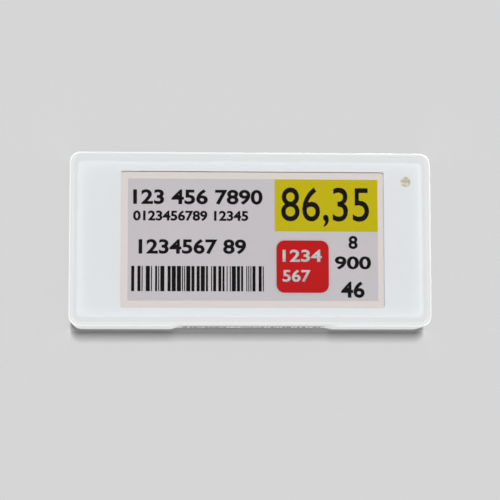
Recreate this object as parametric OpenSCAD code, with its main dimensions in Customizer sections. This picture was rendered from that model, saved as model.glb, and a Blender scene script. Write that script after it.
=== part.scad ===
// Electronic shelf label that stands on its bottom edge.
// X runs to the right, Y from the front to the back and Z up. The origin is under the middle of the case.
// Pieces are drawn as seen from the front, about the middle of the case, and laid in layers.
// A depth is counted back from the highest line of the front rim.

/* [Case] */
// Radius of the case's corners, seen from the front
corner_r = 2.15; // [2:0.05:4]
// Thickness of the case's side walls
wall = 1.3; // [1.2:0.05:1.6]
// Radius of the rounded front and back edges
edge_r = 0.45; // [0.3:0.05:0.6]
// How far the rim stands proud of the lens
rim_rise = 0.2; // [0.1:0.05:0.4]
// Width of the rim at the two sides of the lens
rim_side = 1.6; // [1.5:0.05:2.6]
// Width of the rim above and below the lens
rim_top = 1.8; // [1.5:0.05:1.9]
// Room from the left edge of the case to the display glass
margin_left = 2.75; // [2.7:0.05:6]
// Room from the display glass to the right edge of the case, at least
margin_right = 8.05; // [7.6:0.05:12]
// Room above and below the display glass, at least
margin_top = 2.3; // [2.2:0.05:6]
// Room for the chips beside the battery wells, at least
bay_w = 6.2; // [5.8:0.1:9]
// Depth of the back cover's side wall
cover_depth = 6.4; // [6.2:0.1:6.5]

/* [Front] */
// Thickness of the clear front lens
lens_t = 1; // [0.8:0.05:1.5]
// Radius of the lens's corners
lens_r = 0.9; // [0.7:0.05:2]
// Width of the polished bevel round the lens
lens_bevel = 0.25; // [0.1:0.05:0.4]
// Gap between the lens and the rim
lens_gap = 0.08; // [0.04:0.02:0.15]
// Thickness of the printed mask behind the lens
mask_t = 0.1; // [0.05:0.05:0.2]
// Idle border that the mask's window shows to the left of the active area
window_left = 1.35; // [1:0.05:1.8]
// Idle border that the window shows to the right of the active area
window_right = 1.15; // [1:0.05:1.8]
// Idle border that the window shows above and below the active area
window_top = 1.4; // [1:0.05:1.8]
// Corner radius of the mask's window
window_r = 0.4; // [0.2:0.1:1]
// Thickness of the tape that holds the lens
tape_t = 0.15; // [0.1:0.05:0.3]
// Thickness of the ledge that carries the tape
ledge_t = 0.55; // [0.45:0.05:0.9]
// Width of the recess under the bottom edge
notch_w = 29.7; // [20:0.1:40]
// Depth of the recess under the bottom edge
notch_depth = 0.33; // [0.3:0.01:0.4]
// Length of the slope at each end of the recess
notch_ramp = 1.1; // [0.5:0.1:2]
// Recess left bare at each end of the identity strip
strip_end = 0.75; // [0.5:0.05:6]
// Width of the identity strip, front to back
strip_d = 4; // [3:0.1:4.2]
// Thickness of the identity strip
strip_t = 0.08; // [0.05:0.01:0.12]

/* [Display] */
// Width of the display's active area
active_w = 48.55; // [40:0.05:60]
// Height of the display's active area
active_h = 23.7; // [20:0.05:32]
// Thickness of the display glass
glass_t = 0.5; // [0.4:0.05:0.7]
// Glass to the left of the active area, with the driver chip
glass_left_border = 8.5; // [8.2:0.05:12]
// Glass to the right of the active area
glass_right = 2.15; // [2.1:0.05:4]
// Glass above and below the active area
glass_top = 2.75; // [2.65:0.05:5]
// Electronic ink film that reaches past the active area
film_border = 2; // [1.7:0.05:2]
// Thickness of the electronic ink film
film_t = 0.32; // [0.2:0.02:0.36]
// Thickness of the clear barrier sheet over the film
barrier_t = 0.12; // [0.08:0.02:0.16]
// Thickness of the foam behind the glass
foam_t = 0.4; // [0.3:0.05:0.8]
// Width of the foam's frame
foam_band = 7; // [4:0.5:9]
// Width of the display's flexible tail
flex_w = 13; // [12.6:0.1:14]
// Thickness of the flexible tail
flex_t = 0.1; // [0.08:0.01:0.12]
// Radius of the tail's bends, outside
flex_bend = 0.4; // [0.3:0.05:0.5]
// How far the tail stands out from the glass
flex_room = 0.6; // [0.5:0.05:0.8]
// Length of the driver chip
driver_len = 11; // [8:0.5:12]
// Width of the driver chip
driver_w = 1; // [0.8:0.05:1.2]
// Thickness of the driver chip
driver_t = 0.28; // [0.2:0.02:0.3]

/* [Board] */
// Thickness of the middle frame's plate
plate_t = 0.8; // [0.6:0.05:1.2]
// Space between the middle frame and the board
standoff_t = 0.6; // [0.6:0.05:1]
// Thickness of the circuit board
board_t = 0.8; // [0.6:0.1:1.6]
// Gap between the board's edge and the case wall
board_gap = 0.9; // [0.85:0.05:1.2]
// Diameter of the pegs that hold the board
peg_d = 1.5; // [1.2:0.1:1.8]
// Diameter of the spacers round the pegs
spacer_d = 2.8; // [2.4:0.1:3.2]
// Width of the tail's connector, along the tail's width
socket_len = 15.8; // [15.2:0.1:17]
// Depth of the connector, along the tail
socket_w = 2.55; // [2.2:0.05:3]
// Height of the connector above the board
socket_h = 1.1; // [1:0.05:1.3]
// Number of contacts in the connector
pin_count = 24; // [20:1:24]
// Distance between the contacts
pin_pitch = 0.5; // [0.4:0.05:0.5]
// Diameter of the light pipe
pipe_d = 2.4; // [2:0.1:2.8]
// Diameter of the indicator's window in the mask
indicator_d = 1.95; // [1.4:0.05:2]
// Distance from the case's right edge to the indicator
indicator_right = 4.75; // [4.6:0.05:5.4]
// Distance from the case's top edge to the indicator
indicator_top = 5.5; // [5:0.05:7]

/* [Battery] */
// Diameter of a coin cell
cell_d = 24.5; // [20:0.1:24.6]
// Thickness of a coin cell
cell_t = 5; // [3.2:0.1:5.4]
// Distance between the two cells
cell_gap = 1.6; // [1.5:0.1:2.4]
// Space between the board and the cells
cell_lift = 0.3; // [0.25:0.05:0.5]
// Gap between a cell and its well
well_gap = 0.35; // [0.2:0.05:0.4]
// Thickness of a well's wall
well_wall = 0.9; // [0.7:0.05:1]
// Width of the battery contacts
contact_w = 4.6; // [3:0.1:6]
// Thickness of the battery contacts
contact_t = 0.15; // [0.1:0.01:0.18]
// Thickness of the battery door
door_t = 1; // [0.8:0.05:1.6]
// Door that reaches past the cells, at each side
door_side = 3.2; // [2.4:0.1:4]
// Door that reaches past the cells, above and below
door_top = 0.95; // [0.9:0.05:1.4]
// Corner radius of the door
door_r = 3; // [1.5:0.1:5]
// Gap round the door
door_gap = 0.2; // [0.15:0.05:0.3]
// Thickness of the shelf that the door lies on
shelf_t = 0.8; // [0.6:0.05:1.2]
// Thickness of the foam pads inside the door
pad_t = 0.3; // [0.2:0.05:0.5]
// Diameter of the foam pads inside the door
pad_d = 12; // [6:0.5:18]
// Length of the door's latch tongue
tongue_len = 7; // [4:0.5:9]
// Width of the door's latch tongue
tongue_w = 9; // [6:0.5:12]
// Width of the rail grooves in the back cover
groove_w = 1; // [0.8:0.05:1.1]
// Depth of the rail grooves in the back cover
groove_depth = 0.6; // [0.4:0.05:0.8]

/* [Hidden] */
$fn = 64;

// How far a cut runs past the face that it opens, and how far joined shapes sink into each other
over = 0.4;
weld = 0.2;
// Slack between layers that are stacked but not glued
slack = 0.05;

// Depths of the layers, from the front to the back
lens_back = rim_rise + lens_t;
mask_back = lens_back + mask_t;
ledge_front = mask_back + tape_t;
ledge_back = ledge_front + ledge_t;
glass_front = ledge_back + slack;
film_front = glass_front - film_t;
barrier_front = film_front - barrier_t;
glass_back = glass_front + glass_t;
foam_back = glass_back + foam_t;
plate_back = foam_back + plate_t;
board_front = plate_back + standoff_t;
board_back = board_front + board_t;
cell_front = board_back + cell_lift;
cell_back = cell_front + cell_t;
pad_front = cell_back + slack;
door_front = pad_front + pad_t;
case_depth = door_front + door_t;
seam = case_depth - cover_depth;

// Outer size of the case, which holds the display and the cells, and of the space inside its walls
glass_w = active_w + glass_left_border + glass_right;
glass_h = active_h + 2 * glass_top;
cell_r = cell_d / 2;
cell_x = (cell_d + cell_gap) / 2;
well_r = cell_r + well_gap;
well_outer_r = well_r + well_wall;
blade_gap = 0.3;
blade_y = cell_r + blade_gap;
foot_len = 1.6;
foot_room = 0.4;
cells_need_w = 2 * (cell_x + well_outer_r + bay_w + board_gap + wall);
cells_need_h = 2 * (blade_y + foot_len + foot_room + board_gap + wall);
case_w = max(glass_w + margin_left + margin_right, cells_need_w);
case_h = max(glass_h + 2 * margin_top, cells_need_h);
inner_w = case_w - 2 * wall;
inner_h = case_h - 2 * wall;
inner_r = corner_r - wall;

// Lens, mask and tape
lens_w = case_w - 2 * (rim_side + lens_gap);
lens_h = case_h - 2 * (rim_top + lens_gap);
mask_inset = 0.1;
tape_inset = 0.2;
indicator_x = case_w / 2 - indicator_right;
indicator_y = case_h / 2 - indicator_top;

// Display
glass_left = margin_left - case_w / 2;
glass_x = glass_left + glass_w / 2;
active_x = glass_left + glass_w - glass_right - active_w / 2;
window_w = active_w + window_left + window_right;
window_x = active_x + (window_right - window_left) / 2;
window_h = active_h + 2 * window_top;
film_w = active_w + 2 * film_border;
film_h = active_h + 2 * film_border;
film_gap = 0.3;
opening_w = film_w + 2 * film_gap;
opening_h = film_h + 2 * film_gap;
opening_r = 0.5;
flex_bond = 0.9;
flex_side_gap = 0.8;
driver_gap = 1.6;
driver_x = glass_left + flex_bond + driver_gap;
flex_pocket_right = driver_x + driver_w;

// Middle frame, with a tray round the glass
chassis_gap = 0.2;
chassis_w = inner_w - 2 * chassis_gap;
chassis_h = inner_h - 2 * chassis_gap;
chassis_r = inner_r;
tray_gap = 0.3;
flex_notch_right = glass_left + weld;
relief_share = 0.34;
relief_h_share = 0.4;
pipe_gap = 0.2;
pipe_flange_d = pipe_d + 1.2;
pipe_flange_t = 0.4;
led_w = 1.6;
led_h = 0.8;
led_t = 0.5;
led_lens_t = 0.25;
led_inset = 0.15;

// Circuit board and its pegs
board_w = inner_w - 2 * board_gap;
board_h = inner_h - 2 * board_gap;
board_r = 1;
peg_inset_y = 2.2;
peg_side_gap = 0.325;
peg_y = board_h / 2 - peg_inset_y;
peg_rise = 0.35;
peg_hole_gap = 0.1;
board_notch_x = glass_left - flex_room + flex_t + tray_gap;

// Wells, shelf and door
well_rise = 0.85;
well_front = board_back + well_rise;
seat_gap = 0.1;
shelf_back = door_front - seat_gap;
shelf_front = shelf_back - shelf_t;
shelf_rim = 1.2;
floor_lap = 0.1;
floor_front = shelf_back - floor_lap;
door_w = 2 * (cell_x + cell_r + door_side);
door_h = cell_d + 2 * door_top;
recess_w = door_w + 2 * door_gap;
recess_h = door_h + 2 * door_gap;
tongue_slot = 0.6;
nib_rise = 0.12;
nib_w = 5;
grip_count = 3;
grip_pitch = 1.1;
grip_w = 0.5;
grip_depth = 0.3;
thumb_r = 4;
thumb_depth = 0.7;

// Back cover's lip and hooks
lip_len = 1.6;
lip_t = 0.6;
lip_gap = 0.1;
hook_len = 5;
hook_rise = 0.3;
hook_t = 0.7;
hook_back = 0.75;
hook_room = 0.15;
hook_x_share = 0.3;
hook_y_share = 0.36;
groove_back = 0.9;

// Recess under the bottom edge, and its strip
notch_x = active_x;
strip_w = notch_w - 2 * strip_end;
strip_inset = 0.3;
strip_front = seam + strip_inset;

// Strips of free board at the left and right of the wells, and above and below where the wells meet
left_bay_x = -(cell_x + well_outer_r + board_w / 2) / 2;
right_bay_x = -left_bay_x;
middle_bay_y = (board_h / 2 + cell_r / 2) / 2;

// Connector of the display's tail
socket_x = glass_left + 1;
slot_depth = board_back + socket_h / 2;
slot_h = 0.24;
slot_len = 2;
ear_len = 1.3;
ear_t = 0.45;
pin_w = 0.2;
pin_len = 0.6;
pin_t = 0.12;
latch_r = 0.33;
latch_gap = 0.08;
latch_len = 1.25;
latch_t = 0.46;
latch_pin_r = 0.16;
latch_pin_gap = 0.05;
latch_x = socket_x + socket_w + latch_gap + latch_r;
latch_y = socket_len / 2 - ear_t - latch_gap;
stiffener_len = 0.6;
stiffener_t = 0.18;

// Battery contacts
bump_r = 1.2;
contact_slack = 0.02;
pad_contact_len = 14;
blade_top = 1.2;
blade_slot_gap = 0.5;

// Coin cell's can, seal and cap
can_t = 0.3;
can_edge_r = 0.7;
can_edge_steps = 6;
crimp_drop = 0.35;
crimp_bend = 0.35;
crimp_w = 0.9;
seal_t = 0.5;
cap_step = 0.5;
cap_edge = 0.25;

// Chips: width, height and thickness, and places as shares of the board's height
radio_size = [5, 5, 0.85];
flash_size = [4, 3, 0.6];
crystal_size = [3.2, 2.5, 0.7];
watch_size = [1.5, 3.2, 0.8];
antenna_size = [2, 6, 0.9];
inductor_size = [3, 3, 1.2];
bulk_size = [3.2, 2.5, 1.4];
diode_size = [1.7, 1.25, 0.8];
transistor_size = [1.3, 2.9, 0.95];
capacitor_size = [1, 0.5, 0.5];
resistor_size = [1, 0.5, 0.35];
peg_x = right_bay_x - inductor_size[0] / 2 - peg_d / 2 - peg_side_gap;
chip_mark_r = 0.35;
chip_mark_inset = 0.8;
mark_depth = 0.06;
lead_len = 0.5;
lead_w = 0.35;
lead_t = 0.15;
end_cap_share = 0.24;
radio_y_share = 0.06;
flash_y_share = -0.18;
crystal_y_share = 0.25;
watch_y_share = 0.4;
antenna_y_share = -0.38;
inductor_y_share = 0.38;
diode_y_share = 0.44;
transistor_y_share = -0.36;
capacitor_y_share = -0.44;
resistor_y_share = 0.44;
part_pitch = 1.7;
diode_count = 3;
capacitor_count = 6;
row_x_share = 0.62;
resistor_count = 5;

// Turns a front view, with depths going back, into the standing label
module front_view() translate([0, -case_depth / 2, case_h / 2]) rotate([90, 0, 0]) children();

// Extrudes a flat shape from a depth towards the back
module layer(depth, thick) translate([0, 0, -(depth + thick)]) linear_extrude(thick) children();

module rounded_rect(w, h, r) {
    square([w - 2 * r, h], center = true);
    square([w, h - 2 * r], center = true);
    for (sx = [-1, 1], sy = [-1, 1]) translate([sx * (w / 2 - r), sy * (h / 2 - r)]) circle(r);
}

// Runs a section round a rounded rectangle. The section's x is counted out from the corner's centre
module wall_loop(w, h, r) {
    for (quarter = [0:3]) {
        across = quarter % 2 == 0 ? w : h;
        along = quarter % 2 == 0 ? h : w;
        rotate(90 * quarter) translate([across / 2 - r, along / 2 - r, 0]) {
            rotate_extrude(angle = 90) children();
            rotate([90, 0, 0]) linear_extrude(along - 2 * r) children();
        }
    }
}

// Runs a section along part of one side. The section's x is counted out from that side
module side_run(w, h, quarter, place, length) {
    across = quarter % 2 == 0 ? w : h;
    rotate(90 * quarter) translate([across / 2, place + length / 2, 0])
        rotate([90, 0, 0]) linear_extrude(length) children();
}

// Extrudes a section of x and depth along the height of the label, about a middle height
module upright_run(length) translate([0, length / 2, 0]) rotate([90, 0, 0])
    linear_extrude(length) children();

// Cuts the recess under the bottom edge through the whole depth
module notch_cut() {
    bottom = -case_h / 2;
    foot = notch_w / 2 + notch_ramp;
    layer(-over, case_depth + 2 * over) translate([notch_x, bottom]) polygon([
        [-foot, -over], [-foot, 0], [-notch_w / 2, notch_depth],
        [notch_w / 2, notch_depth], [foot, 0], [foot, -over]
    ]);
}

// Places something at each hook of the back cover
module at_hooks(length) for (side = [-1, 1]) {
    for (quarter = [1, 3])
        side_run(inner_w, inner_h, quarter, side * hook_x_share * inner_w, length) children();
    for (quarter = [0, 2])
        side_run(inner_w, inner_h, quarter, side * hook_y_share * inner_h, length) children();
}

module at_pegs() for (sx = [-1, 1], sy = [-1, 1]) translate([sx * peg_x, sy * peg_y]) children();

module front_section() {
    translate([corner_r - edge_r, -edge_r]) circle(edge_r);
    translate([corner_r - wall, -seam]) square([wall, seam - edge_r]);
    translate([corner_r - wall, -seam]) square([wall - edge_r, seam - rim_rise]);
}

module front_frame() color("whitesmoke") front_view() difference() {
    union() {
        wall_loop(case_w, case_h, corner_r) front_section();
        layer(rim_rise, ledge_back - rim_rise)
            rounded_rect(inner_w + 2 * weld, inner_h + 2 * weld, inner_r + weld);
    }
    layer(-over, ledge_front + over)
        rounded_rect(lens_w + 2 * lens_gap, lens_h + 2 * lens_gap, lens_r + lens_gap);
    layer(ledge_front - over, ledge_t + 2 * over)
        translate([active_x, 0]) rounded_rect(opening_w, opening_h, opening_r);
    layer(ledge_front - over, ledge_t + 2 * over) flex_pocket();
    layer(ledge_front - over, ledge_t + 2 * over)
        translate([indicator_x, indicator_y]) circle(d = pipe_d + 2 * pipe_gap);
    at_hooks(hook_len + 2 * hook_room)
        translate([-over, -(seam - hook_back + hook_room)])
            square([over + hook_rise + hook_room, hook_t + 2 * hook_room]);
    notch_cut();
}

// Opening in the ledge for the driver chip and the tail's bond
module flex_pocket() {
    pocket_h = flex_w + 2 * flex_side_gap;
    translate([-inner_w / 2, -pocket_h / 2]) square([flex_pocket_right + inner_w / 2, pocket_h]);
}

module lens_section() polygon([
    [0, -rim_rise], [lens_r - lens_bevel, -rim_rise], [lens_r, -rim_rise - lens_bevel],
    [lens_r, -lens_back], [0, -lens_back]
]);

module front_lens() color("aliceblue", 0.4) front_view() union() {
    wall_loop(lens_w, lens_h, lens_r) lens_section();
    layer(rim_rise, lens_t) square([lens_w - 2 * lens_r, lens_h - 2 * lens_r], center = true);
}

module window_mask() color("white") front_view() layer(lens_back, mask_t) difference() {
    rounded_rect(lens_w - 2 * mask_inset, lens_h - 2 * mask_inset, lens_r);
    translate([window_x, 0]) rounded_rect(window_w, window_h, window_r);
    translate([indicator_x, indicator_y]) circle(d = indicator_d);
}

module lens_tape() color("dimgray") front_view() layer(mask_back, tape_t) difference() {
    rounded_rect(lens_w - 2 * tape_inset, lens_h - 2 * tape_inset, lens_r);
    translate([active_x, 0]) rounded_rect(opening_w, opening_h, opening_r);
    translate([indicator_x, indicator_y]) circle(d = pipe_d + 2 * pipe_gap);
}

module id_strip() color("white") front_view() layer(strip_front, strip_d)
    translate([notch_x - strip_w / 2, notch_depth - strip_t - case_h / 2]) square([strip_w, strip_t]);

module barrier_sheet() color("gainsboro", 0.5) front_view() layer(barrier_front, barrier_t)
    translate([active_x, 0]) square([film_w, film_h], center = true);

module ink_film() color("darkgray") front_view() layer(film_front, film_t)
    translate([active_x, 0]) square([film_w, film_h], center = true);

module display_glass() color("lightsteelblue") front_view() layer(glass_front, glass_t)
    translate([glass_x, 0]) square([glass_w, glass_h], center = true);

module driver_chip() color("black") front_view() layer(glass_front - driver_t, driver_t)
    translate([driver_x, 0]) square([driver_w, driver_len], center = true);

// A quarter of a bent strip's ring, opening towards the right
module bend(up) intersection() {
    difference() {
        circle(flex_bend);
        circle(flex_bend - flex_t);
    }
    translate([-flex_bend, up ? 0 : -flex_bend]) square(flex_bend);
}

module flex_section() {
    outside = glass_left - flex_room;
    bend_x = outside + flex_bend;
    tail_back = slot_depth + flex_t / 2;
    tail_end = socket_x + slot_len - latch_gap;
    translate([bend_x, -glass_front]) square([glass_left + flex_bond - bend_x, flex_t]);
    translate([bend_x, flex_t - glass_front - flex_bend]) bend(true);
    translate([outside, flex_bend - tail_back])
        square([flex_t, tail_back - glass_front + flex_t - 2 * flex_bend]);
    translate([bend_x, flex_bend - tail_back]) bend(false);
    translate([bend_x, -tail_back]) square([tail_end - bend_x, flex_t]);
}

module display_flex() color("peru") front_view() upright_run(flex_w) flex_section();

module flex_stiffener() color("royalblue") front_view() upright_run(flex_w)
    translate([socket_x - stiffener_len - latch_gap, -slot_depth - flex_t / 2 - stiffener_t])
        square([stiffener_len, stiffener_t]);

module display_foam() color("darkslategray") front_view() layer(glass_back, foam_t)
    translate([active_x, 0]) difference() {
        square([active_w, active_h], center = true);
        square([active_w - 2 * foam_band, active_h - 2 * foam_band], center = true);
    }

module mid_frame() color("gainsboro") front_view() difference() {
    union() {
        layer(glass_front + slack, foam_back - glass_front) difference() {
            rounded_rect(chassis_w, chassis_h, chassis_r);
            translate([glass_x, 0])
                square([glass_w + 2 * tray_gap, glass_h + 2 * tray_gap], center = true);
        }
        layer(foam_back, plate_t) rounded_rect(chassis_w, chassis_h, chassis_r);
        layer(plate_back - weld, standoff_t + weld) at_pegs() circle(d = spacer_d);
        layer(plate_back - weld, standoff_t + board_t + peg_rise + weld) at_pegs() circle(d = peg_d);
    }
    layer(glass_front, plate_back) flex_notch(flex_notch_right);
    layer(glass_front, plate_back)
        translate([indicator_x, indicator_y]) circle(d = pipe_d + 2 * pipe_gap);
    layer(glass_front, pipe_flange_t + slack)
        translate([indicator_x, indicator_y]) circle(d = pipe_flange_d + 2 * pipe_gap);
    layer(foam_back - over, plate_t + 2 * over) for (side = [-1, 1])
        translate([active_x + side * active_w / 4, 0])
            rounded_rect(relief_share * active_w, relief_h_share * active_h, opening_r);
}

// Room for the tail at the left edge, as far as a given x
module flex_notch(right) {
    notch_h = flex_w + 2 * flex_side_gap;
    translate([-case_w / 2, -notch_h / 2]) square([case_w / 2 + right, notch_h]);
}

module light_pipe() color("antiquewhite") front_view() translate([indicator_x, indicator_y]) {
    layer(mask_back + slack, board_front - led_t - led_lens_t - 2 * slack - mask_back) circle(d = pipe_d);
    layer(ledge_back + slack, pipe_flange_t) circle(d = pipe_flange_d);
}

module indicator_led() color("khaki") front_view() translate([indicator_x, indicator_y]) {
    layer(board_front - led_t, led_t) square([led_w, led_h], center = true);
    layer(board_front - led_t - led_lens_t, led_lens_t + led_inset)
        square([led_w - 2 * led_inset - led_lens_t, led_h], center = true);
}

module circuit_board() color("darkgreen") front_view() layer(board_front, board_t) difference() {
    rounded_rect(board_w, board_h, board_r);
    flex_notch(board_notch_x);
    at_pegs() circle(d = peg_d + 2 * peg_hole_gap);
}

// A chip on the back of the board, with a round mark sunk in one corner
module chip(size) difference() {
    layer(board_back, size[2]) square([size[0], size[1]], center = true);
    layer(board_back + size[2] - mark_depth, over)
        translate([chip_mark_inset - size[0] / 2, size[1] / 2 - chip_mark_inset]) circle(chip_mark_r);
}

// A two-ended part on the back of the board, with end caps that stand out a little
module two_ended(size) {
    cap_w = end_cap_share * size[0];
    layer(board_back, size[2] - lead_t / 2) square([size[0] - cap_w, size[1] - lead_t], center = true);
    for (side = [-1, 1]) layer(board_back, size[2])
        translate([side * (size[0] - cap_w) / 2, 0]) square([cap_w, size[1]], center = true);
}

module radio_chip() color("black") front_view()
    translate([right_bay_x, radio_y_share * board_h]) chip(radio_size);

module flash_chip() color("black") front_view()
    translate([right_bay_x, flash_y_share * board_h]) chip(flash_size);

module main_crystal() color("silver") front_view()
    translate([right_bay_x, crystal_y_share * board_h]) layer(board_back, crystal_size[2])
        rounded_rect(crystal_size[0], crystal_size[1], chip_mark_r);

module watch_crystal() color("silver") front_view()
    translate([right_bay_x, watch_y_share * board_h]) layer(board_back, watch_size[2])
        rounded_rect(watch_size[0], watch_size[1], chip_mark_r);

module chip_antenna() color("ivory") front_view()
    translate([right_bay_x, antenna_y_share * board_h]) layer(board_back, antenna_size[2])
        square([antenna_size[0], antenna_size[1]], center = true);

module boost_inductor() color("dimgray") front_view()
    translate([left_bay_x, inductor_y_share * board_h]) difference() {
        layer(board_back, inductor_size[2]) rounded_rect(inductor_size[0], inductor_size[1], chip_mark_r);
        layer(board_back + inductor_size[2] - mark_depth, over) circle(chip_mark_inset);
    }

module boost_transistor() color("black") front_view()
    translate([left_bay_x, transistor_y_share * board_h]) {
        layer(board_back + lead_t, transistor_size[2] - lead_t)
            square([transistor_size[0], transistor_size[1]], center = true);
        for (lead = [[-1, -1], [-1, 1], [1, 0]]) layer(board_back, lead_t + mark_depth)
            translate([lead[0] * transistor_size[0] / 2, lead[1] * transistor_size[1] / 3])
                square([2 * lead_len, lead_w], center = true);
    }

module boost_diodes() color("black") front_view() for (i = [0:diode_count - 1])
    translate([2 * i * part_pitch - cell_x - row_x_share * cell_r, diode_y_share * board_h])
        two_ended(diode_size);

module bulk_capacitors() color("darkkhaki") front_view() for (side = [-1, 1])
    translate([0, side * middle_bay_y]) two_ended(bulk_size);

module chip_capacitors() color("burlywood") front_view() for (side = [-1, 1], i = [0:capacitor_count - 1])
    translate([side * (cell_x + row_x_share * cell_r), capacitor_y_share * board_h])
        translate([(i - (capacitor_count - 1) / 2) * part_pitch, 0]) two_ended(capacitor_size);

module chip_resistors() color("black") front_view() for (i = [0:resistor_count - 1])
    translate([cell_x + row_x_share * cell_r, resistor_y_share * board_h])
        translate([(i - (resistor_count - 1) / 2) * part_pitch, 0]) two_ended(resistor_size);

module flex_connector() color("ivory") front_view() difference() {
    union() {
        upright_run(socket_len) translate([socket_x, -board_back - socket_h]) square([socket_w, socket_h]);
        for (side = [-1, 1]) translate([0, side * (socket_len - ear_t) / 2, 0]) upright_run(ear_t)
            translate([socket_x, -board_back - socket_h]) square([socket_w + ear_len, socket_h]);
    }
    upright_run(flex_w + 2 * latch_gap)
        translate([socket_x - over, -slot_depth - slot_h / 2]) square([slot_len + over, slot_h]);
    upright_run(socket_len + 2 * over)
        translate([latch_x, -slot_depth]) circle(latch_pin_r + latch_pin_gap);
}

module connector_pins() color("gold") front_view()
    for (i = [0:pin_count - 1]) layer(board_back, pin_t)
        translate([socket_x - pin_len, (i - (pin_count - 1) / 2) * pin_pitch - pin_w / 2])
            square([pin_len, pin_w]);

module flex_latch() color("sienna") front_view() {
    upright_run(2 * latch_y) translate([latch_x, -slot_depth]) {
        circle(latch_r);
        translate([0, -latch_t / 2]) square([latch_len, latch_t]);
    }
    upright_run(2 * (latch_y + latch_gap + ear_t - mark_depth))
        translate([latch_x, -slot_depth]) circle(latch_pin_r);
}

// A flat contact under a cell, with two round bumps that touch the cell's cap
module negative_contact(side) color("lightgray") front_view() translate([side * cell_x, 0, -board_back]) {
    translate([0, 0, -contact_t]) linear_extrude(contact_t)
        square([pad_contact_len, contact_w], center = true);
    bump_h = cell_lift - contact_t - contact_slack;
    for (end = [-1, 1]) translate([end * pad_contact_len / 4, 0, -contact_t]) intersection() {
        translate([0, 0, bump_r - bump_h]) sphere(bump_r);
        translate([0, 0, -bump_r]) cylinder(h = bump_r, r = bump_r);
    }
}

// An upright blade beside a cell, with a soldered foot and a bump that touches the cell's rim
module positive_contact(side) color("lightgray") front_view() translate([side * cell_x, -blade_y, 0]) {
    blade_depth = shelf_front - blade_top - board_back;
    bump_h = blade_gap - contact_slack;
    layer(board_back, contact_t) translate([-contact_w / 2, -foot_len]) square([contact_w, foot_len]);
    layer(board_back, blade_depth) translate([-contact_w / 2, -contact_t]) square([contact_w, contact_t]);
    translate([0, 0, -(cell_front + cell_t / 2)]) rotate([-90, 0, 0]) intersection() {
        translate([0, 0, bump_h - bump_r]) sphere(bump_r);
        cylinder(h = bump_r, r = bump_r);
    }
}

// Points of the can's rounded edge, from its flat end to its side
function can_edge_points() = [
    for (i = [0:can_edge_steps]) [
        cell_r - can_edge_r + can_edge_r * sin(90 * i / can_edge_steps),
        can_edge_r - cell_back - can_edge_r * cos(90 * i / can_edge_steps)
    ]
];

module cell_can(side) color("silver") front_view() translate([side * cell_x, 0, 0]) rotate_extrude() {
    crimp = cell_front + crimp_drop;
    polygon(concat([[0, -cell_back]], can_edge_points(), [
        [cell_r, -crimp - crimp_bend], [cell_r - crimp_bend, -crimp],
        [cell_r - crimp_w, -crimp], [cell_r - crimp_w, -crimp - can_t],
        [cell_r - can_t, -crimp - can_t], [cell_r - can_t, can_edge_r - cell_back],
        [cell_r - can_edge_r, can_t - cell_back], [0, can_t - cell_back]
    ]));
}

module cell_seal(side) color("dimgray") front_view() translate([side * cell_x, 0, 0]) rotate_extrude() {
    top = cell_front + crimp_drop + can_t;
    outside = cell_r - can_t;
    polygon([
        [outside, -top], [outside, can_edge_r - cell_back], [outside - seal_t, can_edge_r - cell_back],
        [outside - seal_t, -top - seal_t], [outside - 2 * seal_t - can_t, -top - seal_t],
        [outside - 2 * seal_t - can_t, -top]
    ]);
}

module cell_cap(side) color("gainsboro") front_view() translate([side * cell_x, 0, 0]) rotate_extrude() {
    top = cell_front + crimp_drop + can_t + seal_t;
    flange = cell_r - can_t - seal_t;
    cap = flange - seal_t - can_t - cap_step;
    polygon([
        [0, -cell_front], [cap - cap_edge, -cell_front], [cap, -cell_front - cap_edge], [cap, -top],
        [flange, -top], [flange, can_edge_r - cell_back], [0, can_edge_r - cell_back]
    ]);
}

module cover_section() {
    translate([corner_r - edge_r, edge_r - case_depth]) circle(edge_r);
    translate([corner_r - wall, edge_r - case_depth]) square([wall, cover_depth - edge_r]);
    translate([corner_r - wall, -case_depth]) square([wall - edge_r, cover_depth]);
}

module hook_section() translate([0, -(seam - hook_back)]) polygon([
    [-lip_gap - weld, 0], [-lip_gap, 0], [hook_rise - lip_gap, hook_t / 3],
    [hook_rise - lip_gap, hook_t / 2], [-lip_gap, hook_t], [-lip_gap - weld, hook_t]
]);

module ring(w, h, r, thick) difference() {
    rounded_rect(w, h, r);
    square([w - 2 * thick, h - 2 * thick], center = true);
}

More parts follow.
